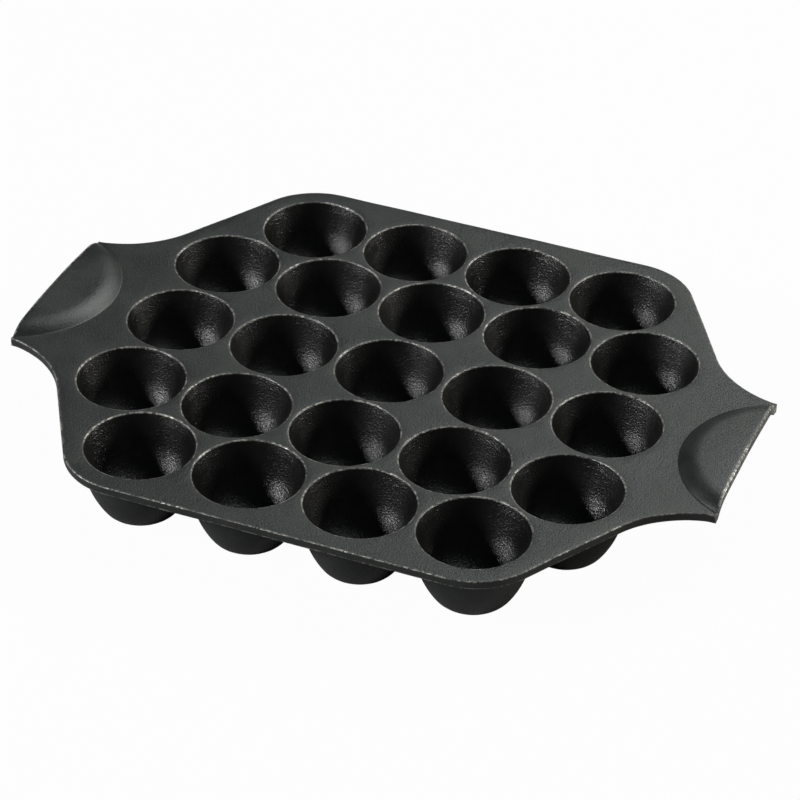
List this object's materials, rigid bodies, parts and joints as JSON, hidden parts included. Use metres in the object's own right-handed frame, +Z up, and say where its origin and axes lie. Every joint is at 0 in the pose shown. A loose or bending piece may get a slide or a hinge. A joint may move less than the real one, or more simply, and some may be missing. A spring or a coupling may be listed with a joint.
{
  "type": "takoyaki pan",
  "caption": "Cast-iron takoyaki pan: a flat plate with rows of round-bottomed cups and a hollow domed grip at each end, for use over a burner.",
  "frame": {"origin": "under the middle cup, on the plane of the cups' feet", "axes": "+X to the right-hand grip, +Y to the back long side, +Z up through the plate"},
  "size_m": [0.2766, 0.2122, 0.0325],
  "materials": {
    "iron": "seasoned black, sand-cast satin"
  },
  "bodies": {
    "root": {"top_plate": "iron", "cup_row1_1": "iron", "cup_row1_2": "iron", "cup_row1_3": "iron", "cup_row1_4": "iron", "cup_row2_1": "iron", "cup_row2_2": "iron", "cup_row2_3": "iron", "cup_row2_4": "iron", "cup_row2_5": "iron", "cup_row3_1": "iron", "cup_row3_2": "iron", "cup_row3_3": "iron", "cup_row3_4": "iron", "cup_row3_5": "iron", "cup_row4_1": "iron", "cup_row4_2": "iron", "cup_row4_3": "iron", "cup_row4_4": "iron", "cup_row4_5": "iron", "cup_row5_1": "iron", "cup_row5_2": "iron", "cup_row5_3": "iron", "cup_row5_4": "iron", "left_grip": "iron", "right_grip": "iron"}
  },
  "joints": []
}
